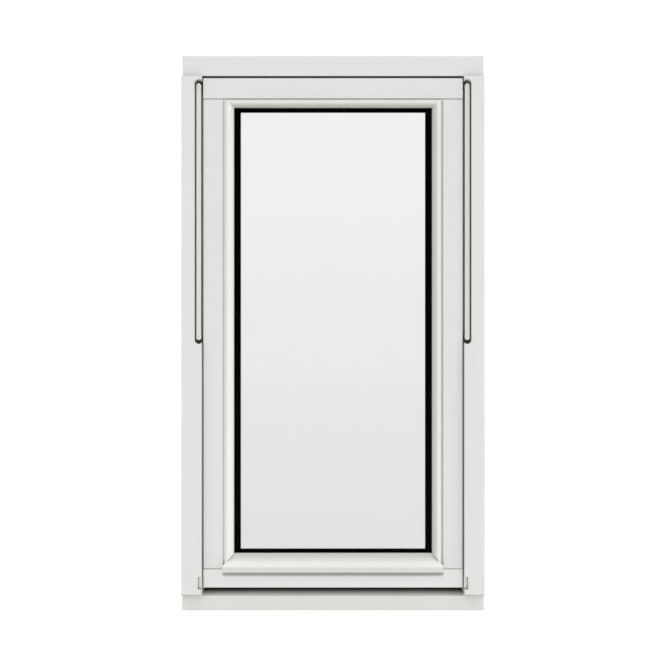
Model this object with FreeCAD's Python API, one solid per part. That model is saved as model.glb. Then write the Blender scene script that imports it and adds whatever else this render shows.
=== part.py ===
import FreeCAD, Part
import math
import os

# A white timber window whose sash turns over about its middle, seen closed.
# Millimetres, +Z up, the outside faces -Y and X runs to the right seen from outside.
# The origin is the middle of the sill's underside.

# Frame
frame_width = 590.0
frame_height = 1085.4
frame_depth = 102.0
jamb_face = 39.2
jamb_proud = 13.0
jamb_stop_cover = 12.8
jamb_weathering = 3.1
jamb_foot_bevel = 2.0
head_face = 39.3
head_stop_cover = 15.1
sill_front_height = 28.0
sill_seat_height = 31.7
sill_slope_degrees = 10.0
sill_stop_height = 56.0
kerf_width = 5.0
kerf_depth = 4.0
kerf_setback = 10.0
frame_arris = 1.2
stop_round = 4.0

# Frame fixings through the jambs
fixing_hole_diameter = 10.0
fixing_setback = 20.0
fixing_low = 200.0
fixing_from_top = 199.4

# Weatherstrips in the frame stops
seal_thickness = 3.0
seal_width = 8.0
seal_stem_width = 3.4
seal_stem_depth = 6.0
seal_groove_clearance = 0.3
seal_end_clearance = 0.3

# Sash
sash_thickness = 58.0
sash_side_gap = 1.9
sash_top_gap = 4.4
sash_bottom = 44.4
stile_face = 38.5
top_rail_face = 40.0
bottom_rail_face = 35.8
sash_arris = 0.8
lip_round = 7.0

# Glazing
glass_setback = 12.0
pane_thickness = 4.0
pane_space = 16.0
gasket_thickness = 2.0
gasket_show = 1.5
spacer_zone = 15.0
spacer_show_side = 11.35
spacer_show_top = 4.5
spacer_show_bottom = 3.7
spacer_show_inside = 6.0
glazing_clearance = 4.5
edge_seal_film = 0.1

# Beads
side_bead_width = 20.85
top_bead_width = 16.3
bottom_bead_height = 30.0
bead_quirk_share = 0.2
bead_quirk_depth = 2.2
bead_shoulder_proud = 2.8
bead_crest_share = 0.49
bead_crest_proud = 4.0
bead_swell = 1.7
bead_sight_edge = 4.0
drip_proud = 16.0
drip_nose_height = 10.7
drip_hang = 2.5
drip_hollow = 3.0
drip_top_flat = 2.0
drip_rail_clearance = 0.3
drip_groove_width = 4.0
drip_groove_depth = 2.5
drip_groove_setback = 4.0
bead_round = 1.2

# Guide rails in the upper half of the jambs
slot_width = 13.6
slot_overrun = 2.4
slot_depth = 34.0
slot_below_pivot = 21.65
slot_head_gap = 9.6
guide_width = 8.8
guide_wall_gap = 2.7
guide_front_setback = 8.0
guide_end_gap_low = 7.7
guide_end_gap_high = 6.0
guide_channel_wall = 2.2

# Keep plates low on the jambs
keep_drop = 0.8
keep_height = 25.2
keep_width = 7.2
keep_recess_depth = 12.0
keep_plate_thickness = 2.0
keep_edge_clearance = 0.5
keep_tongue_height = 15.6
keep_tongue_clearance = 0.3
keep_round = 1.5

# Pivots at the middle of the stiles
pivot_pin_diameter = 10.0
pivot_pin_depth = 22.0
pivot_collar_diameter = 24.0
pivot_clearance = 0.2

# Handle on the inside of the bottom rail
rose_length = 64.0
rose_height = 28.0
rose_thickness = 8.0
rose_edge_bevel = 2.0
neck_diameter = 15.0
neck_length = 26.0
neck_clearance = 0.2
lever_length = 118.0
lever_width = 20.0
lever_tip_width = 15.0
lever_thickness = 11.0
lever_edge_bevel = 2.5
lever_corner_flat = 3.0

# Planes across the depth, from the outside in
frame_front = -frame_depth / 2
frame_back = frame_depth / 2
jamb_front = frame_front - jamb_proud
sash_back = frame_front + sash_thickness
stop_front = sash_back + seal_thickness
glass_front = frame_front + glass_setback
bead_back = glass_front - gasket_thickness
inner_pane_front = glass_front + pane_thickness + pane_space
glass_back = inner_pane_front + pane_thickness
lip_front = glass_back + gasket_thickness
pivot_depth = frame_front + sash_thickness / 2

# Half widths, from the outside edge to the middle
half_width = frame_width / 2
reveal_half = half_width - jamb_face
stop_half = reveal_half - jamb_stop_cover
sash_half = reveal_half - sash_side_gap
rebate_half = sash_half - stile_face
sight_half = rebate_half - side_bead_width
spacer_half = sight_half - spacer_show_side
unit_half = spacer_half + spacer_zone
wall_half = unit_half + glazing_clearance
lip_half = spacer_half + spacer_show_inside
side_seal_half = (stop_half + sash_half) / 2

# Heights, from the head down and from the sill up
head_under = frame_height - head_face
head_stop_under = head_under - head_stop_cover
sash_top = head_under - sash_top_gap
rebate_top = sash_top - top_rail_face
sight_top = rebate_top - top_bead_width
spacer_top = sight_top - spacer_show_top
unit_top = spacer_top + spacer_zone
wall_top = unit_top + glazing_clearance
lip_top = spacer_top + spacer_show_inside
rebate_bottom = sash_bottom + bottom_rail_face
sight_bottom = rebate_bottom + bottom_bead_height
spacer_bottom = sight_bottom + spacer_show_bottom
unit_bottom = spacer_bottom - spacer_zone
wall_bottom = unit_bottom - glazing_clearance
lip_bottom = spacer_bottom - spacer_show_inside
nose_bottom = rebate_bottom - drip_hang
nose_top = nose_bottom + drip_nose_height
sill_slope_rise = math.tan(math.radians(sill_slope_degrees)) * (stop_front - frame_front)
sill_slope_top = sill_front_height + sill_slope_rise
head_seal_height = (head_stop_under + sash_top) / 2
sill_seal_height = (sill_stop_height + sash_bottom) / 2
pivot_height = (sash_top + sash_bottom) / 2
handle_height = (sash_bottom + lip_bottom) / 2
slot_low = pivot_height - slot_below_pivot
slot_high = head_under - slot_head_gap
keep_low = sash_bottom - keep_drop
fixing_high = frame_height - fixing_from_top

seal_groove_width = seal_stem_width + 2 * seal_groove_clearance
seal_groove_depth = seal_stem_depth + seal_groove_clearance


def vector(x, y, z):
    return FreeCAD.Vector(x, y, z)


# Plan outlines hold (x, y), side outlines (y, z) and front outlines (x, z).
def in_plan(z):
    return lambda u, v: vector(u, v, z)


def in_side(x):
    return lambda u, v: vector(x, u, v)


def in_front(y):
    return lambda u, v: vector(u, y, v)


# A closed outline of (u, v) or (u, v, radius) corners, with a tangent arc where a radius is given.
def outline_face(corners, place):
    edges = []
    starts = []
    ends = []
    count = len(corners)
    for index, corner in enumerate(corners):
        here = place(corner[0], corner[1])
        before = place(corners[index - 1][0], corners[index - 1][1])
        after = place(corners[(index + 1) % count][0], corners[(index + 1) % count][1])
        if len(corner) == 2:
            starts.append(here)
            ends.append(here)
            continue
        towards_before = (before - here).normalize()
        towards_after = (after - here).normalize()
        half_angle = towards_before.getAngle(towards_after) / 2
        setback = corner[2] / math.tan(half_angle)
        middle = (towards_before + towards_after).normalize()
        centre = here + middle * (corner[2] / math.sin(half_angle))
        start = here + towards_before * setback
        end = here + towards_after * setback
        edges.append(Part.Arc(start, centre - middle * corner[2], end).toShape())
        starts.append(start)
        ends.append(end)
    for index in range(count):
        run_start = ends[index - 1]
        run_end = starts[index]
        if run_start.distanceToPoint(run_end) > 1e-6:
            edges.append(Part.LineSegment(run_start, run_end).toShape())
    return Part.Face(Part.Wire(Part.__sortEdges__(edges)))


# An arc between two points whose middle stands off the straight line by a height, towards a third point.
def curve_between(start, end, towards, height):
    middle = (start + end) * 0.5
    along = (end - start).normalize()
    reach = towards - middle
    square = (reach - along * reach.dot(along)).normalize()
    return Part.Arc(start, middle + square * height, end).toShape()


def plan_prism(corners, low, high):
    return outline_face(corners, in_plan(low)).extrude(vector(0, 0, high - low))


def side_prism(corners, left, right):
    return outline_face(corners, in_side(left)).extrude(vector(right - left, 0, 0))


def front_prism(corners, near, far):
    return outline_face(corners, in_front(near)).extrude(vector(0, far - near, 0))


def block(x0, x1, y0, y1, z0, z1):
    return Part.makeBox(x1 - x0, y1 - y0, z1 - z0, vector(x0, y0, z0))


def rod_across(x0, x1, y, z, diameter):
    return Part.makeCylinder(diameter / 2, x1 - x0, vector(x0, y, z), vector(1, 0, 0))


# A rectangle in front view with round ends above and below.
def upright_stadium(x0, x1, z0, z1, near, far):
    radius = (x1 - x0) / 2
    middle = (x0 + x1) / 2
    low = z0 + radius
    high = z1 - radius
    edges = [
        Part.LineSegment(vector(x0, near, low), vector(x0, near, high)).toShape(),
        Part.Arc(vector(x0, near, high), vector(middle, near, z1), vector(x1, near, high)).toShape(),
        Part.LineSegment(vector(x1, near, high), vector(x1, near, low)).toShape(),
        Part.Arc(vector(x1, near, low), vector(middle, near, z0), vector(x0, near, low)).toShape(),
    ]
    return Part.Face(Part.Wire(edges)).extrude(vector(0, far - near, 0))


# A flat ring in front view, between two rectangles given as (half width, bottom, top).
def front_ring(outer, inner, near, far):
    ring = block(-outer[0], outer[0], near, far, outer[1], outer[2])
    return ring.cut(block(-inner[0], inner[0], near, far, inner[1], inner[2]))


def mirrored(shape):
    return shape.mirror(vector(0, 0, 0), vector(1, 0, 0))


# Frame

# The right jamb stands on the sill's end and carries the head. Its outer part is proud of both.
def make_jamb():
    groove_near = side_seal_half - seal_groove_width / 2
    groove_far = side_seal_half + seal_groove_width / 2
    groove_floor = stop_front + seal_groove_depth
    section = [
        (half_width, jamb_front, frame_arris),
        (half_width, frame_back, frame_arris),
        (stop_half, frame_back, stop_round),
        (stop_half, stop_front),
        (groove_near, stop_front),
        (groove_near, groove_floor),
        (groove_far, groove_floor),
        (groove_far, stop_front),
        (reveal_half, stop_front),
        (reveal_half, jamb_front, frame_arris),
    ]
    jamb = plan_prism(section, sill_seat_height, head_under)
    weathering = [
        (frame_front, head_under),
        (jamb_front, head_under),
        (jamb_front, head_under - jamb_weathering),
    ]
    foot = [
        (jamb_front, sill_seat_height),
        (jamb_front + jamb_foot_bevel, sill_seat_height),
        (jamb_front, sill_seat_height + jamb_foot_bevel),
    ]
    jamb = jamb.cut(side_prism(weathering, reveal_half, half_width))
    jamb = jamb.cut(side_prism(foot, reveal_half, half_width))
    slot = upright_stadium(reveal_half - slot_overrun, reveal_half + slot_width, slot_low, slot_high,
                           jamb_front, jamb_front + slot_depth)
    recess = [
        (reveal_half, keep_low),
        (reveal_half, keep_low + keep_height),
        (reveal_half + keep_width, keep_low + keep_height, keep_round),
        (reveal_half + keep_width, keep_low, keep_round),
    ]
    jamb = jamb.cut(slot)
    jamb = jamb.cut(front_prism(recess, jamb_front, jamb_front + keep_recess_depth))
    jamb = jamb.cut(rod_across(reveal_half, reveal_half + pivot_pin_depth, pivot_depth, pivot_height,
                               pivot_pin_diameter + 2 * pivot_clearance))
    for height in (fixing_low, fixing_high):
        jamb = jamb.cut(rod_across(stop_half, half_width, frame_back - fixing_setback, height,
                                   fixing_hole_diameter))
    return jamb


# The head lies across both jambs, with its stop let in between theirs.
def make_head():
    kerf_near = frame_front + kerf_setback
    section = [
        (frame_front, frame_height, frame_arris),
        (frame_back, frame_height, frame_arris),
        (frame_back, head_under),
        (kerf_near + kerf_width, head_under),
        (kerf_near + kerf_width, head_under + kerf_depth),
        (kerf_near, head_under + kerf_depth),
        (kerf_near, head_under),
        (frame_front, head_under),
    ]
    groove_floor = stop_front + seal_groove_depth
    stop = [
        (stop_front, head_under),
        (frame_back, head_under),
        (frame_back, head_stop_under, stop_round),
        (stop_front, head_stop_under),
        (stop_front, head_seal_height - seal_groove_width / 2),
        (groove_floor, head_seal_height - seal_groove_width / 2),
        (groove_floor, head_seal_height + seal_groove_width / 2),
        (stop_front, head_seal_height + seal_groove_width / 2),
    ]
    head = side_prism(section, -half_width, half_width)
    return head.fuse(side_prism(stop, -stop_half, stop_half)).removeSplitter()


# The sill slopes outwards between the jambs, and its level ends carry them.
def make_sill():
    kerf_near = frame_front + kerf_setback
    slope = [
        (frame_front, 0.0),
        (kerf_near, 0.0),
        (kerf_near, kerf_depth),
        (kerf_near + kerf_width, kerf_depth),
        (kerf_near + kerf_width, 0.0),
        (frame_back, 0.0),
        (frame_back, sill_seat_height),
        (stop_front, sill_seat_height),
        (stop_front, sill_slope_top),
        (frame_front, sill_front_height, frame_arris),
    ]
    end_seat = [
        (frame_front, 0.0),
        (kerf_near, 0.0),
        (kerf_near, kerf_depth),
        (kerf_near + kerf_width, kerf_depth),
        (kerf_near + kerf_width, 0.0),
        (frame_back, 0.0),
        (frame_back, sill_seat_height),
        (frame_front, sill_seat_height),
    ]
    groove_floor = stop_front + seal_groove_depth
    stop = [
        (stop_front, sill_seat_height),
        (frame_back, sill_seat_height),
        (frame_back, sill_stop_height, stop_round),
        (stop_front, sill_stop_height),
        (stop_front, sill_seal_height + seal_groove_width / 2),
        (groove_floor, sill_seal_height + seal_groove_width / 2),
        (groove_floor, sill_seal_height - seal_groove_width / 2),
        (stop_front, sill_seal_height - seal_groove_width / 2),
    ]
    sill = side_prism(slope, -reveal_half, reveal_half)
    right_seat = side_prism(end_seat, reveal_half, half_width)
    sill = sill.fuse([right_seat, mirrored(right_seat), side_prism(stop, -stop_half, stop_half)])
    return sill.removeSplitter()


# Weatherstrips, each a soft lip on a stem that sits in its groove. Across is the direction over the stop.
def seal_section(middle):
    lip_low = middle - seal_width / 2
    lip_high = middle + seal_width / 2
    stem_low = middle - seal_stem_width / 2
    stem_high = middle + seal_stem_width / 2
    lip_round_radius = seal_thickness / 3
    return [
        (sash_back, lip_low, lip_round_radius),
        (sash_back, lip_high, lip_round_radius),
        (stop_front, lip_high),
        (stop_front, stem_high),
        (stop_front + seal_stem_depth, stem_high),
        (stop_front + seal_stem_depth, stem_low),
        (stop_front, stem_low),
        (stop_front, lip_low),
    ]


def make_cross_seal(height):
    reach = stop_half - seal_end_clearance
    return side_prism(seal_section(height), -reach, reach)


def make_side_seal():
    corners = []
    for corner in seal_section(side_seal_half):
        corners.append((corner[1], corner[0]) + tuple(corner[2:]))
    low = sill_seal_height - seal_width / 2
    high = head_seal_height + seal_width / 2
    return plan_prism(corners, low, high)


# Sash

# A sash member's section, from its outer edge to its inner lip: the front face and the bead's seat,
# the rebate that holds the glass, and a moulded lip inside.
def sash_section(outer, rebate, wall, lip):
    return [
        (frame_front, outer, sash_arris),
        (frame_front, rebate, sash_arris),
        (bead_back, rebate),
        (bead_back, wall),
        (lip_front, wall),
        (lip_front, lip),
        (sash_back, lip, lip_round),
        (sash_back, outer, sash_arris),
    ]


def make_stile():
    corners = []
    for corner in sash_section(sash_half, rebate_half, wall_half, lip_half):
        corners.append((corner[1], corner[0]) + tuple(corner[2:]))
    return plan_prism(corners, rebate_bottom, rebate_top)


# A rail runs the full width of the sash and is scribed over the stiles behind its face.
def make_rail(outer, rebate, wall, lip, stiles):
    rail = side_prism(sash_section(outer, rebate, wall, lip), -sash_half, sash_half)
    return rail.cut(stiles)


def bored_for_pivot(stile):
    return stile.cut(rod_across(sash_half - pivot_pin_depth, sash_half, pivot_depth, pivot_height,
                                pivot_pin_diameter + 2 * pivot_clearance))


# Glazing

def make_pane(front):
    return block(-unit_half, unit_half, front, front + pane_thickness, unit_bottom, unit_top)


def make_spacer():
    near = glass_front + pane_thickness + edge_seal_film
    far = inner_pane_front - edge_seal_film
    outer = (unit_half, unit_bottom, unit_top)
    inner = (spacer_half, spacer_bottom, spacer_top)
    return front_ring(outer, inner, near, far)


def make_gasket(near, far, sight):
    outer = (unit_half, unit_bottom, unit_top)
    inner = (sight[0] - gasket_show, sight[1] + gasket_show, sight[2] - gasket_show)
    return front_ring(outer, inner, near, far)


# Beads, mitred to each other at the corners

# A bead's section: a sunk quirk beside the sash face, a shoulder up to the crest, and a swelling fall
# to the glass. Widths are shares of the bead's width, so unequal beads still meet at their mitres.
def bead_face(outer, inner, place):
    width = inner - outer
    quirk = outer + width * bead_quirk_share
    crest = outer + width * bead_crest_share
    quirk_floor = frame_front + bead_quirk_depth
    corners = [
        place(outer, quirk_floor),
        place(quirk, quirk_floor),
        place(quirk, frame_front - bead_shoulder_proud),
        place(crest, frame_front - bead_crest_proud),
        place(inner, bead_back - bead_sight_edge),
        place(inner, bead_back),
        place(outer, bead_back),
    ]
    fall = curve_between(corners[3], corners[4], place(inner, frame_front - bead_crest_proud), bead_swell)
    edges = [fall]
    for start, end in ((0, 1), (1, 2), (2, 3), (4, 5), (5, 6), (6, 0)):
        edges.append(Part.LineSegment(corners[start], corners[end]).toShape())
    return Part.Face(Part.Wire(Part.__sortEdges__(edges)))


def make_side_bead():
    face = bead_face(rebate_half, sight_half, lambda u, v: vector(u, v, nose_top))
    bead = face.extrude(vector(0, 0, rebate_top - nose_top))
    region = [
        (rebate_half, nose_top),
        (rebate_half, rebate_top),
        (sight_half, sight_top),
        (sight_half, sight_bottom),
    ]
    return bead.common(front_prism(region, jamb_front, glass_front))


def make_top_bead():
    face = bead_face(rebate_top, sight_top, lambda u, v: vector(-rebate_half, v, u))
    bead = face.extrude(vector(2 * rebate_half, 0, 0))
    region = [
        (-rebate_half, rebate_top),
        (rebate_half, rebate_top),
        (sight_half, sight_top),
        (-sight_half, sight_top),
    ]
    return bead.common(front_prism(region, jamb_front, glass_front))


# The bottom bead sheds water from the glass over a nose that hangs clear of the bottom rail.
def make_bottom_bead():
    nose_front = frame_front - drip_proud
    rail_clear = frame_front - drip_rail_clearance
    groove_near = nose_front + drip_groove_setback
    section = [
        (bead_back, rebate_bottom),
        (bead_back, sight_bottom),
        (bead_back - bead_sight_edge, sight_bottom),
        (nose_front, nose_top, bead_round),
        (nose_front, nose_bottom, bead_round),
        (groove_near, nose_bottom),
        (groove_near, nose_bottom + drip_groove_depth),
        (groove_near + drip_groove_width, nose_bottom + drip_groove_depth),
        (groove_near + drip_groove_width, nose_bottom),
        (rail_clear, nose_bottom),
        (rail_clear, rebate_bottom),
    ]
    bead = side_prism(section, -rebate_half, rebate_half)
    slope_top = vector(-rebate_half, bead_back - bead_sight_edge, sight_bottom)
    nose_corner = vector(-rebate_half, nose_front, nose_top)
    slope_foot = nose_corner + (slope_top - nose_corner).normalize() * drip_top_flat
    inside = vector(-rebate_half, bead_back, nose_top)
    hollow = Part.Face(Part.Wire([
        curve_between(slope_top, slope_foot, inside, drip_hollow),
        Part.LineSegment(slope_foot, slope_top).toShape(),
    ])).extrude(vector(2 * rebate_half, 0, 0))
    bead = bead.cut(hollow)
    region = [
        (-rebate_half, nose_bottom),
        (rebate_half, nose_bottom),
        (rebate_half, nose_top),
        (sight_half, sight_bottom),
        (-sight_half, sight_bottom),
        (-rebate_half, nose_top),
    ]
    return bead.common(front_prism(region, nose_front, glass_front))


# Hardware

# The right guide rail is a channel with round ends, open towards the sash, screwed to the slot's floor.
def make_guide_rail():
    far_side = reveal_half + slot_width - guide_wall_gap
    near_side = far_side - guide_width
    low = slot_low + guide_end_gap_low
    high = slot_high - guide_end_gap_high
    front = jamb_front + guide_front_setback
    back = jamb_front + slot_depth
    rail = upright_stadium(near_side, far_side, low, high, front, back)
    channel = block(near_side, far_side - guide_channel_wall, front + guide_channel_wall,
                    back - guide_channel_wall, low + guide_width, high - guide_width)
    return rail.cut(channel)


# The right keep is a plate let into the jamb, with a tongue across the gap to the sash.
def make_keep():
    plate_low = keep_low + keep_edge_clearance
    plate_high = keep_low + keep_height - keep_edge_clearance
    far_side = reveal_half + keep_width - keep_edge_clearance
    tongue_low = (plate_low + plate_high - keep_tongue_height) / 2
    tongue_high = tongue_low + keep_tongue_height
    tongue_end = sash_half + keep_tongue_clearance
    outline = [
        (far_side, plate_low, keep_round),
        (far_side, plate_high, keep_round),
        (reveal_half, plate_high),
        (reveal_half, tongue_high),
        (tongue_end, tongue_high),
        (tongue_end, tongue_low),
        (reveal_half, tongue_low),
        (reveal_half, plate_low),
    ]
    floor = jamb_front + keep_recess_depth
    return front_prism(outline, floor - keep_plate_thickness, floor)


# The right pivot is a pin with a collar that runs in the side gap.
def make_pivot():
    pin = rod_across(sash_half - pivot_pin_depth + pivot_clearance,
                     reveal_half + pivot_pin_depth - pivot_clearance,
                     pivot_depth, pivot_height, pivot_pin_diameter)
    collar = rod_across(sash_half + pivot_clearance, reveal_half - pivot_clearance,
                        pivot_depth, pivot_height, pivot_collar_diameter)
    return pin.fuse(collar).removeSplitter()


# Bevels every edge that lies in one of the given upright planes.
def bevelled_faces(shape, bevel, planes):
    chosen = []
    for edge in shape.Edges:
        depths = [vertex.Point.y for vertex in edge.Vertexes]
        for plane in planes:
            if max(abs(depth - plane) for depth in depths) < 1e-6:
                chosen.append(edge)
    return shape.makeChamfer(bevel, chosen)


# The rose is screwed to the bottom rail, with its outer edge bevelled all round.
def make_rose():
    half_length = rose_length / 2
    corner = rose_height / 2 - rose_edge_bevel
    outline = [
        (-half_length, handle_height - rose_height / 2, corner),
        (half_length, handle_height - rose_height / 2, corner),
        (half_length, handle_height + rose_height / 2, corner),
        (-half_length, handle_height + rose_height / 2, corner),
    ]
    face_plane = sash_back + rose_thickness
    return bevelled_faces(front_prism(outline, sash_back, face_plane), rose_edge_bevel, [face_plane])


# The lever stands off the rose on a round neck and lies along the rail, tapering to its tip.
def make_lever():
    heel = lever_width / 2
    tip = lever_tip_width / 2
    near = sash_back + rose_thickness + neck_length
    far = near + lever_thickness
    outline = [
        (-heel, handle_height - heel, heel - lever_corner_flat),
        (lever_length - heel, handle_height - tip, tip - lever_corner_flat),
        (lever_length - heel, handle_height + tip, tip - lever_corner_flat),
        (-heel, handle_height + heel, heel - lever_corner_flat),
    ]
    grip = bevelled_faces(front_prism(outline, near, far), lever_edge_bevel, [near, far])
    neck_start = sash_back + rose_thickness + neck_clearance
    neck = Part.makeCylinder(neck_diameter / 2, near + lever_thickness / 2 - neck_start,
                             vector(0, neck_start, handle_height), vector(0, 1, 0))
    return grip.fuse(neck).removeSplitter()


def make_parts():
    plain_right_stile = make_stile()
    plain_left_stile = mirrored(plain_right_stile)
    stiles = [plain_left_stile, plain_right_stile]
    parts = {
        "head": make_head(),
        "sill": make_sill(),
        "head_seal": make_cross_seal(head_seal_height),
        "sill_seal": make_cross_seal(sill_seal_height),
        "sash_top_rail": make_rail(sash_top, rebate_top, wall_top, lip_top, stiles),
        "sash_bottom_rail": make_rail(sash_bottom, rebate_bottom, wall_bottom, lip_bottom, stiles),
        "outer_pane": make_pane(glass_front),
        "inner_pane": make_pane(inner_pane_front),
        "spacer_frame": make_spacer(),
        "outer_gasket": make_gasket(bead_back, glass_front - edge_seal_film,
                                    (sight_half, sight_bottom, sight_top)),
        "inner_gasket": make_gasket(glass_back + edge_seal_film, lip_front,
                                    (lip_half, lip_bottom, lip_top)),
        "top_bead": make_top_bead(),
        "bottom_bead": make_bottom_bead(),
        "handle_rose": make_rose(),
        "handle_lever": make_lever(),
    }
    pairs = {
        "jamb": make_jamb(),
        "side_seal": make_side_seal(),
        "sash_stile": bored_for_pivot(plain_right_stile),
        "side_bead": make_side_bead(),
        "guide_rail": make_guide_rail(),
        "keep": make_keep(),
        "pivot": make_pivot(),
    }
    for name, right_piece in pairs.items():
        parts["right_" + name] = right_piece
        parts["left_" + name] = mirrored(right_piece)
    return parts


os.makedirs("parts", exist_ok=True)
for node, shape in make_parts().items():
    print(node, len(shape.Solids), shape.isValid(), round(shape.Volume))
    shape.exportStep("parts/" + node + ".step")
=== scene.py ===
import math

import bmesh
import bpy
from mathutils import Matrix, Vector


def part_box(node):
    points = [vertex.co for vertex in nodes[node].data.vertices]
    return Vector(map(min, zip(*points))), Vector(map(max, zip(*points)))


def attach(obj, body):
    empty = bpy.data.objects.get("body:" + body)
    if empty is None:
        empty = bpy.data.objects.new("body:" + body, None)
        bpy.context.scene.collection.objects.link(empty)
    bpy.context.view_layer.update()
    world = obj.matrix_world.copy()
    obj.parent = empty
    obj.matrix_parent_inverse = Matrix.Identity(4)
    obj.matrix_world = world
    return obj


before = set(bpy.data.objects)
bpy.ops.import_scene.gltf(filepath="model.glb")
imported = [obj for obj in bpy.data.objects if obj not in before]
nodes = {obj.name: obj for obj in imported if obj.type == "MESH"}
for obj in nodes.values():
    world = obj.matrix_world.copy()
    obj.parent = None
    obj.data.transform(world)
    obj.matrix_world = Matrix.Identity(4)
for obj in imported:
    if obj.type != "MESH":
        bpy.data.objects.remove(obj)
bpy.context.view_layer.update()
print("frame loaded:", len(nodes), "pieces")


# shader maths

class Wire:  # a socket that adds its own Math nodes when it is used in a sum
    def __init__(self, bench, socket):
        self.bench = bench
        self.socket = socket

    def pick(self, name):  # another output of the same node
        return Wire(self.bench, self.socket.node.outputs[name])

    def join(self, operation, first, second):
        return self.bench.node("ShaderNodeMath", {"operation": operation}, {0: first, 1: second})

    def __add__(self, other):
        return self.join("ADD", self, other)

    def __radd__(self, other):
        return self.join("ADD", other, self)

    def __sub__(self, other):
        return self.join("SUBTRACT", self, other)

    def __rsub__(self, other):
        return self.join("SUBTRACT", other, self)

    def __mul__(self, other):
        return self.join("MULTIPLY", self, other)

    def __rmul__(self, other):
        return self.join("MULTIPLY", other, self)

    def __truediv__(self, other):
        return self.join("DIVIDE", self, other)

    def __rtruediv__(self, other):
        return self.join("DIVIDE", other, self)

    def __pow__(self, other):
        return self.join("POWER", self, other)

    def __rpow__(self, other):
        return self.join("POWER", other, self)

    def __abs__(self):
        return self.bench.node("ShaderNodeMath", {"operation": "ABSOLUTE"}, {0: self})


mixSockets = {"factor": 0, "first": 6, "second": 7, "result": 2}  # where a Mix node keeps its colours
noiseMiddle = 0.5  # a noise swings about this value
greenShare = 0.2  # of the blue that a warm grey lacks, it lacks this share in green too


class Bench:  # one node tree and the way to put nodes on it
    def __init__(self, owner):
        owner.use_nodes = True
        self.tree = owner.node_tree
        self.tree.nodes.clear()

    def node(self, kind, settings=None, sockets=None):
        made = self.tree.nodes.new(kind)
        for name, value in (settings or {}).items():
            if name == "stops":
                self.fillRamp(made.color_ramp.elements, value)
            else:
                setattr(made, name, value)
        for name, value in (sockets or {}).items():
            if isinstance(value, Wire):
                self.tree.links.new(value.socket, made.inputs[name])
            else:
                made.inputs[name].default_value = value
        return Wire(self, made.outputs[0]) if made.outputs else None

    def fillRamp(self, elements, stops):  # the first stop is at 0 and the last at 1
        for place, colour in stops[1:-1]:
            elements.new(place).color = colour
        elements[0].color = stops[0][1]
        elements[-1].color = stops[-1][1]

    def place(self):
        return self.node("ShaderNodeTexCoord").pick("Object")

    def split(self, vector):
        return self.node("ShaderNodeSeparateXYZ", {}, {0: vector})

    def grain(self, place, spec, alongAxis=0):  # noise, drawn out along one axis where the spec says so
        scale = [spec["across"]] * 3
        scale[alongAxis] = spec.get("along", spec["across"])
        stretched = self.node("ShaderNodeVectorMath", {"operation": "MULTIPLY"}, {0: place, 1: scale})
        return self.node("ShaderNodeTexNoise", {}, {
            "Vector": stretched, "Scale": 1.0, "Detail": spec["detail"], "Roughness": spec["rough"],
            "Distortion": spec.get("distort", 0.0)})

    def swing(self, level, noise, reach):
        return level + (noise - noiseMiddle) * reach

    def ramp(self, value, low, high):
        return self.node("ShaderNodeMapRange", {"interpolation_type": "SMOOTHSTEP"},
                         {"Value": value, "From Min": low, "From Max": high})

    def blend(self, mask, first, second, way="MIX"):
        mixed = self.node("ShaderNodeMix", {"data_type": "RGBA", "blend_type": way}, {
            mixSockets["factor"]: mask, mixSockets["first"]: first, mixSockets["second"]: second})
        return mixed.pick(mixSockets["result"])

    def bump(self, height, spec):
        return self.node("ShaderNodeBump", {}, {
            "Height": height, "Strength": spec["bumpStrength"], "Distance": spec["bumpDepth"]})

    def facing(self, ray, towards):
        product = self.node("ShaderNodeVectorMath", {"operation": "DOT_PRODUCT"}, {0: ray, 1: towards})
        along = product.pick("Value")
        return along.join("MAXIMUM", along, 0.0)

    def surface(self, sockets):
        shader = self.node("ShaderNodeBsdfPrincipled", {}, sockets)
        self.node("ShaderNodeOutputMaterial", {}, {"Surface": shader})


def newFinish(name):
    material = bpy.data.materials.new(name)
    return material, Bench(material)


def dress(names, material):
    for name in names:
        nodes[name].data.materials.clear()
        nodes[name].data.materials.append(material)


def grey(level, warm=0.0):
    return (level, level * (1 - warm * greenShare), level * (1 - warm), 1.0)


def darkened(colour, share):
    return tuple(channel * share for channel in colour[:3]) + (1.0,)


# painted timber

timberPaint = {
    "white": 0.820, "grainShade": 0.800, "grainFrom": 0.35, "grainTo": 0.75,
    "warm": 0.012, "shadeWarm": 0.10,
    "fibres": {"across": 240.0, "along": 7.0, "detail": 5.0, "rough": 0.6, "distort": 0.5, "relief": 0.55},
    "hairs": {"across": 1500.0, "along": 30.0, "detail": 3.0, "rough": 0.5, "relief": 0.25},
    "peel": {"across": 700.0, "detail": 2.0, "rough": 0.5, "relief": 0.30},
    "roughness": 0.40, "roughnessSwing": 0.14, "sheen": 0.4, "bumpStrength": 0.12, "bumpDepth": 0.0005,
    # the crevice values paint shade into gaps, grooves and corners
    "creviceReach": 0.020, "creviceDark": 0.06, "creviceShut": 0.10, "creviceOpen": 0.50,
    "creviceSamples": 8,
}
# each piece's white is set apart a little to even out how the light falls on it: painted light and shade
headTimber = dict(timberPaint, white=0.840, grainShade=0.820,
                  creviceDark=0.40, creviceShut=0.25, creviceOpen=0.95)
topRailTimber = dict(timberPaint, white=0.835, grainShade=0.815)
# washes are places along one axis of the piece, from 0 to 1, with the share of its white left there:
# painted light and shade
# painted shade on the sill's slope, darker deeper under the sash
sillTimber = dict(timberPaint, warm=0.060, white=0.765, grainShade=0.745, washAxis=1, washes=[
    (0.0, 1.0), (0.085, 1.0), (0.11, 0.83), (0.154, 0.80), (0.198, 0.60), (0.242, 0.33), (0.286, 0.11),
    (0.33, 0.06), (0.60, 0.06), (0.606, 1.0), (1.0, 1.0)])
sillTimber.update(creviceReach=0.004, creviceShut=0.05, creviceOpen=0.30, washWithin={
    "under": "sash_bottom_rail", "spare": 0.004, "fade": 0.002, "lowest": 0.020})
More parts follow.
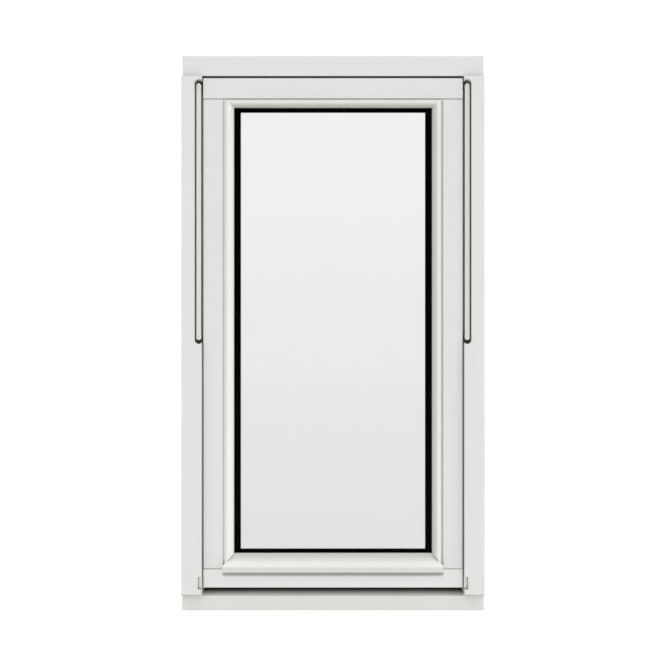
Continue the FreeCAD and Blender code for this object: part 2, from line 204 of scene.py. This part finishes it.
# painted shade makes the feet of the uprights a little greyer, against the floor's glow, and their ends
# show as fine joint lines
jambTimber = dict(headTimber, white=0.832, grainShade=0.812, washAxis=2, washes=[
    (0.0, 0.45), (0.0022, 0.45), (0.0028, 0.92), (0.135, 0.935), (0.30, 0.958), (0.75, 1.0), (1.0, 1.0)])
stileTimber = dict(timberPaint, white=0.836, grainShade=0.816, washAxis=2, washes=[
    (0.0, 0.35), (0.0017, 0.35), (0.0021, 0.94), (0.096, 0.95), (0.278, 0.965), (0.773, 1.0), (0.9984, 1.0),
    (0.9988, 0.35), (1.0, 0.35)])
# painted shadow lies in a grey line close under the drip nose, and painted shade makes the rail's ends a
# little greyer
railTimber = dict(timberPaint, white=0.862, grainShade=0.842, washAxis=0, washes=[
    (0.0, 0.945), (0.05, 0.95), (0.12, 1.0), (0.88, 1.0), (0.95, 0.95), (1.0, 0.945)])
railTimber.update(creviceReach=0.016, creviceDark=0.40, creviceShut=0.88, creviceOpen=1.0, noseShade={
    "nose": "bottom_bead", "drop": 0.013, "dropFade": 0.004,
    "endInset": 0.001, "endFade": 0.003, "depthFade": 0.004})
# painted shade darkens the drip slope by the glass and the nose face, and painted light keeps the slope's
# outer edge bright
noseTimber = dict(timberPaint, white=0.935, grainShade=0.915, warm=0.045, washAxis=2, washes=[
    (0.0, 0.777), (0.30, 0.777), (0.36, 1.0), (0.47, 1.0), (0.70, 0.766), (0.84, 0.66), (1.0, 0.617)])
# painted light and shade run across the beads' mouldings, and the left bead is painted lighter than the
# right one, as light from the right would fall
topBeadTimber = dict(timberPaint, white=0.860, grainShade=0.840, warm=0.060, washAxis=2, washes=[
    (0.0, 0.69), (0.16, 0.71), (0.27, 0.80), (0.40, 0.925), (0.55, 1.0), (0.72, 0.905), (1.0, 0.955)])
leftBeadTimber = dict(timberPaint, white=0.955, grainShade=0.935, warm=0.040, washAxis=0, washes=[
    (0.0, 1.0), (0.14, 0.98), (0.24, 0.84), (0.42, 0.90), (0.52, 1.0), (1.0, 1.0)])
rightBeadTimber = dict(timberPaint, white=0.880, grainShade=0.860, warm=0.055, washAxis=0, washes=[
    (0.0, 0.75), (0.30, 0.77), (0.42, 0.87), (0.55, 1.0), (0.68, 1.0), (0.80, 0.86), (1.0, 0.94)])


def underNose(bench, spread, spec):  # 1 on the outside face close below the nose, 0 elsewhere: where the nose's painted shadow goes
    low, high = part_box(spec["nose"])
    lowest = low.z - spec["drop"]
    beside = bench.ramp(abs(spread.pick("X")), high.x - spec["endInset"], high.x + spec["endFade"])
    behind = bench.ramp(spread.pick("Y"), high.y - spec["depthFade"], high.y)
    above = bench.ramp(spread.pick("Z"), lowest, lowest + spec["dropFade"])
    return (1.0 - beside) * (1.0 - behind) * above


def underSash(bench, spread, spec):  # 1 on the upper side of the sill between the jambs, 0 elsewhere: where the sill's painted shade goes
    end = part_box(spec["under"])[1].x + spec["spare"]
    beside = bench.ramp(abs(spread.pick("X")), end, end + spec["fade"])
    return (1.0 - beside) * bench.ramp(spread.pick("Z"), spec["lowest"], spec["lowest"] + spec["fade"])


def washAlong(bench, spread, spec, node):
    axis = spec["washAxis"]
    low, high = [corner[axis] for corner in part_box(node)]
    share = (spread.pick(axis) - low) / (high - low)
    stops = [(at, grey(level, (1 - level) * spec["shadeWarm"])) for at, level in spec["washes"]]
    return bench.node("ShaderNodeValToRGB", {"stops": stops}, {0: share})


def paintedTimber(name, alongAxis, spec=timberPaint, washOver=None):
    material, bench = newFinish(name)
    place = bench.place()
    spread = bench.split(place)
    fibres = bench.grain(place, spec["fibres"], alongAxis)
    hairs = bench.grain(place, spec["hairs"], alongAxis)
    peel = bench.grain(place, spec["peel"])
    # painted shade: an occlusion node darkens the paint in gaps, grooves and corners
    crevice = bench.node("ShaderNodeAmbientOcclusion", {"samples": spec["creviceSamples"]},
                         {"Distance": spec["creviceReach"]})
    paintedShade = 1.0 - bench.ramp(crevice.pick("AO"), spec["creviceShut"], spec["creviceOpen"])
    # painted shadow of the drip nose on the bottom rail
    if "noseShade" in spec:
        paintedShade = paintedShade * underNose(bench, spread, spec["noseShade"])
    colour = bench.blend(bench.ramp(fibres, spec["grainFrom"], spec["grainTo"]),
                         grey(spec["white"], spec["warm"]), grey(spec["grainShade"], spec["warm"]))
    # painted light and shade along the piece, and dark joint lines at the uprights' ends
    if washOver:
        within = underSash(bench, spread, spec["washWithin"]) if "washWithin" in spec else 1.0
        colour = bench.blend(within, colour, washAlong(bench, spread, spec, washOver), "MULTIPLY")
    colour = bench.blend(paintedShade, colour, grey(spec["creviceDark"], spec["warm"] + spec["shadeWarm"]))
    relief = fibres * spec["fibres"]["relief"] + hairs * spec["hairs"]["relief"]
    relief = relief + peel * spec["peel"]["relief"]
    bench.surface({
        "Base Color": colour,
        "Roughness": bench.swing(spec["roughness"], fibres, spec["roughnessSwing"]),
        "Specular IOR Level": spec["sheen"],
        "Normal": bench.bump(relief, spec),
    })
    return material


acrossWindow, upWindow = 0, 2  # the axis that a piece's grain runs along
dress(["head"], paintedTimber("paintHead", acrossWindow, headTimber))
dress(["sill"], paintedTimber("paintSill", acrossWindow, sillTimber, "sill"))
dress(["left_jamb", "right_jamb"], paintedTimber("paintJamb", upWindow, jambTimber, "left_jamb"))
dress(["sash_top_rail"], paintedTimber("paintTopRail", acrossWindow, topRailTimber))
dress(["sash_bottom_rail"], paintedTimber("paintBottomRail", acrossWindow, railTimber, "sash_bottom_rail"))
dress(["left_sash_stile", "right_sash_stile"],
      paintedTimber("paintStile", upWindow, stileTimber, "left_sash_stile"))
dress(["top_bead"], paintedTimber("paintTopBead", acrossWindow, topBeadTimber, "top_bead"))
dress(["bottom_bead"], paintedTimber("paintDripBead", acrossWindow, noseTimber, "bottom_bead"))
dress(["left_side_bead"], paintedTimber("paintLeftBead", upWindow, leftBeadTimber, "left_side_bead"))
dress(["right_side_bead"], paintedTimber("paintRightBead", upWindow, rightBeadTimber, "right_side_bead"))
print("timber painted")


# glazing

glassSheet = {
    "tint": (0.874, 0.874, 0.872, 1.0), "glint": 0.05, "roughness": 0.0, "bend": 1.5,
    "wave": {"across": 5.0, "detail": 1.0, "rough": 0.4}, "bumpStrength": 0.05, "bumpDepth": 0.0002,
}


def clearGlass(spec=glassSheet):
    material, bench = newFinish("clearGlass")
    bench.surface({
        "Base Color": spec["tint"],
        "Roughness": spec["roughness"],
        "IOR": spec["bend"],
        "Specular Tint": grey(spec["glint"]),
        "Transmission Weight": 1.0,
        "Normal": bench.bump(bench.grain(bench.place(), spec["wave"]), spec),
    })
    return material


sealRubber = {
    "level": 0.012, "paler": 1.8, "roughness": 0.65, "roughnessSwing": 0.2, "sheen": 0.15,
    "grain": {"across": 2200.0, "detail": 3.0, "rough": 0.6}, "bumpStrength": 0.2, "bumpDepth": 0.0002,
}
gasketRubber = dict(sealRubber, level=0.0015, roughness=0.7, sheen=0.02)
spacerRubber = dict(sealRubber, level=0.0008, roughness=0.8, sheen=0.0)


def blackRubber(name, spec):
    material, bench = newFinish(name)
    grain = bench.grain(bench.place(), spec["grain"])
    bench.surface({
        "Base Color": bench.blend(grain, grey(spec["level"]), grey(spec["level"] * spec["paler"])),
        "Roughness": bench.swing(spec["roughness"], grain, spec["roughnessSwing"]),
        "Specular IOR Level": spec["sheen"],
        "Normal": bench.bump(grain, spec),
    })
    return material


dress(["outer_pane", "inner_pane"], clearGlass())
dress(["spacer_frame"], blackRubber("spacerBlack", spacerRubber))
dress(["outer_gasket", "inner_gasket"], blackRubber("gasketBlack", gasketRubber))
dress(["head_seal", "sill_seal", "left_side_seal", "right_side_seal"], blackRubber("sealBlack", sealRubber))
print("glass and seals done")


# hardware

guideFinish = {
    "colour": (0.85, 0.84, 0.79, 1.0), "darker": 0.95, "roughness": 0.5, "roughnessSwing": 0.2,
    "grain": {"across": 1600.0, "detail": 3.0, "rough": 0.5}, "bumpStrength": 0.15, "bumpDepth": 0.0003,
}
keepFinish = dict(guideFinish, colour=(0.88, 0.88, 0.82, 1.0), tongue={
    "node": "left_keep", "width": 0.0017, "edge": 0.0003, "shade": 0.06, "warm": 0.10})


def powderCoat(name, spec):
    material, bench = newFinish(name)
    place = bench.place()
    grain = bench.grain(place, spec["grain"])
    coat = bench.blend(grain, spec["colour"], darkened(spec["colour"], spec["darker"]))
    if "tongue" in spec:  # painted shade: the tongue is painted dark, as the shade of the gap it lies in
        tongue = spec["tongue"]
        root = -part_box(tongue["node"])[1].x + tongue["width"]
        plate = bench.ramp(abs(bench.split(place).pick("X")), root - tongue["edge"], root)
        coat = bench.blend(plate, grey(tongue["shade"], tongue["warm"]), coat)
    bench.surface({
        "Base Color": coat,
        "Roughness": bench.swing(spec["roughness"], grain, spec["roughnessSwing"]),
        "Normal": bench.bump(grain, spec),
    })
    return material


satinMetal = {
    "colour": (0.50, 0.50, 0.495, 1.0), "darker": 0.86, "roughness": 0.34, "roughnessSwing": 0.22,
    "lines": {"across": 2600.0, "along": 40.0, "detail": 2.0, "rough": 0.5}, "linesAlong": 0,
    "bumpStrength": 0.12, "bumpDepth": 0.0002,
}
pivotMetal = dict(satinMetal, linesAlong=1)


def brushedMetal(name, spec):
    material, bench = newFinish(name)
    lines = bench.grain(bench.place(), spec["lines"], spec["linesAlong"])
    bench.surface({
        "Base Color": bench.blend(lines, spec["colour"], darkened(spec["colour"], spec["darker"])),
        "Metallic": 1.0,
        "Roughness": bench.swing(spec["roughness"], lines, spec["roughnessSwing"]),
        "Normal": bench.bump(lines, spec),
    })
    return material


handleMetal = brushedMetal("handleMetal", satinMetal)
dress(["handle_rose", "handle_lever"], handleMetal)
dress(["left_pivot", "right_pivot"], brushedMetal("pivotSteel", pivotMetal))
dress(["left_guide_rail", "right_guide_rail"], powderCoat("guideCoat", guideFinish))
dress(["left_keep", "right_keep"], powderCoat("keepCoat", keepFinish))
print("hardware done")


# cross-head screws that hold the rose

roseScrew = {
    "radius": 0.0036, "shoulder": 0.0029, "rim": 0.0002, "dome": 0.0007, "sunk": 0.0006, "sides": 32,
    "recessReach": 0.0019, "recessHalf": 0.0005, "recessDepth": 0.0011, "recessTaper": 0.7,
    "fromEnd": 0.011, "turns": {"left": 20.0, "right": -35.0},
}


def screwHead(name, centre, turn, spec=roseScrew):
    shape = bmesh.new()

    def ring(radius, lift):
        angles = [2 * math.pi * step / spec["sides"] for step in range(spec["sides"])]
        return [shape.verts.new((math.cos(a) * radius, lift, math.sin(a) * radius)) for a in angles]

    def cross(size, lift):
        reach, half = spec["recessReach"] * size, spec["recessHalf"] * size
        corners = [(half, reach), (half, half), (reach, half)]
        outline = []
        for quarter in range(4):  # the same three corners, turned clockwise
            outline += corners
            corners = [(z, -x) for x, z in corners]
        return [shape.verts.new((x, lift, z)) for x, z in outline]

    def pairs(loop):  # each vertex with the next one round
        return [(vert, loop[(step + 1) % len(loop)]) for step, vert in enumerate(loop)]

    def wall(first, second):
        for (a, b), (c, d) in zip(pairs(first), pairs(second)):
            shape.faces.new((a, b, d, c))

    back = ring(spec["radius"], -spec["sunk"])
    rim = ring(spec["radius"], spec["rim"])
    shoulder = ring(spec["shoulder"], spec["dome"])
    mouth = cross(1.0, spec["dome"])
    floor = cross(spec["recessTaper"], spec["dome"] - spec["recessDepth"])
    wall(back, rim)
    wall(rim, shoulder)
    wall(mouth, floor)
    shape.faces.new(back)
    shape.faces.new(floor)
    edges = [shape.edges.get(pair) for loop in (shoulder, mouth) for pair in pairs(loop)]
    bmesh.ops.triangle_fill(shape, use_beauty=True, edges=edges, normal=(0.0, 1.0, 0.0))
    bmesh.ops.recalc_face_normals(shape, faces=shape.faces)
    bmesh.ops.rotate(shape, verts=shape.verts, matrix=Matrix.Rotation(math.radians(turn), 3, "Y"))
    bmesh.ops.translate(shape, verts=shape.verts, vec=centre)
    mesh = bpy.data.meshes.new(name)
    shape.to_mesh(mesh)
    shape.free()
    mesh.materials.append(handleMetal)
    screw = bpy.data.objects.new(name, mesh)
    bpy.context.scene.collection.objects.link(screw)
    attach(screw, "root")


roseLow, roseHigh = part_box("handle_rose")
roseMiddle = (roseLow + roseHigh) / 2
ends = {"left": roseLow.x + roseScrew["fromEnd"], "right": roseHigh.x - roseScrew["fromEnd"]}
for side, x in ends.items():
    screwHead(side + "_rose_screw", Vector((x, roseHigh.y, roseMiddle.z)), roseScrew["turns"][side])
print("rose screws set")


# studio

studioFloor = {  # glows are light of the floor's own, and fades and fulls are places along Y
    "size": 60.0, "white": 0.75, "roughness": 0.9,
    "frontGlow": 0.32, "frontFade": -2.0, "frontFull": -0.30,
    "backGlow": 0.187, "backFade": 0.05, "backFull": 0.80,
    "farGlow": 0.042, "farFade": 1.0, "farFull": 12.0,
}


def layFloor(spec=studioFloor):
    mesh = bpy.data.meshes.new("studioFloor")
    half = spec["size"] / 2
    corners = [(-half, -half, 0), (half, -half, 0), (half, half, 0), (-half, half, 0)]
    mesh.from_pydata(corners, [], [(0, 1, 2, 3)])
    floor = bpy.data.objects.new("studioFloor", mesh)
    bpy.context.scene.collection.objects.link(floor)
    material, bench = newFinish("studioFloor")
    depth = bench.split(bench.place()).pick("Y")
    behind = bench.ramp(depth, spec["backFade"], spec["backFull"])
    glow = bench.ramp(depth, spec["frontFade"], spec["frontFull"]) * (1.0 - behind) * spec["frontGlow"]
    glow = glow + behind * spec["backGlow"]
    glow = glow + bench.ramp(depth, spec["farFade"], spec["farFull"]) * spec["farGlow"]
    bench.surface({
        "Base Color": grey(spec["white"]),
        "Roughness": spec["roughness"],
        "Emission Color": bench.node("ShaderNodeCombineColor", {}, {0: glow, 1: glow, 2: glow}),
        "Emission Strength": 1.0,
    })
    mesh.materials.append(material)


studioLight = {  # an even light all round, a white backdrop, and soft lights from above and the right
    "even": 0.53, "backdrop": 1.15, "backdropEdge": 0.60, "backdropFull": 0.92,
    "horizonDip": 0.0565, "dipRise": 0.17, "sharpness": 4.0,
    "softLights": [
        {"azimuth": 0.0, "elevation": 75.0, "strength": 1.34},
        {"azimuth": 40.0, "elevation": 30.0, "strength": 0.08},
        {"azimuth": 90.0, "elevation": 30.0, "strength": 0.55},
    ],
}


def lightWorld(spec=studioLight):
    world = bpy.data.worlds.new("studioWorld")
    bpy.context.scene.world = world
    bench = Bench(world)
    ray = bench.node("ShaderNodeTexCoord").pick("Generated")
    rise = bench.split(ray).pick("Z")
    clear = 1.0 - spec["horizonDip"] * (1.0 - bench.ramp(rise, 0.0, spec["dipRise"]))
    behind = bench.ramp(bench.facing(ray, (0.0, 1.0, 0.0)), spec["backdropEdge"], spec["backdropFull"])
    strength = spec["even"] + behind * (clear * spec["backdrop"] - spec["even"])
    for light in spec["softLights"]:
        turn, lift = math.radians(light["azimuth"]), math.radians(light["elevation"])
        towards = (math.sin(turn) * math.cos(lift), -math.cos(turn) * math.cos(lift), math.sin(lift))
        strength = strength + bench.facing(ray, towards) ** spec["sharpness"] * light["strength"]
    glow = bench.node("ShaderNodeBackground", {}, {"Color": grey(1.0), "Strength": strength})
    bench.node("ShaderNodeOutputWorld", {}, {"Surface": glow})


cameraView = {
    "lens": 50.0, "sensor": 36.0, "standOff": 1.795, "eyeHeight": 0.5437, "eyeSide": -0.00097, "tilt": 90.0,
}


def setCamera(spec=cameraView):
    lens = bpy.data.cameras.new("photoCamera")
    lens.lens = spec["lens"]
    lens.sensor_width = spec["sensor"]
    camera = bpy.data.objects.new("photoCamera", lens)
    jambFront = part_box("left_jamb")[0].y
    camera.location = (spec["eyeSide"], jambFront - spec["standOff"], spec["eyeHeight"])
    camera.rotation_euler = (math.radians(spec["tilt"]), 0.0, 0.0)
    bpy.context.scene.collection.objects.link(camera)
    bpy.context.scene.camera = camera


layFloor()
lightWorld()
setCamera()
bpy.context.scene.view_settings.view_transform = "Standard"
print("studio set")
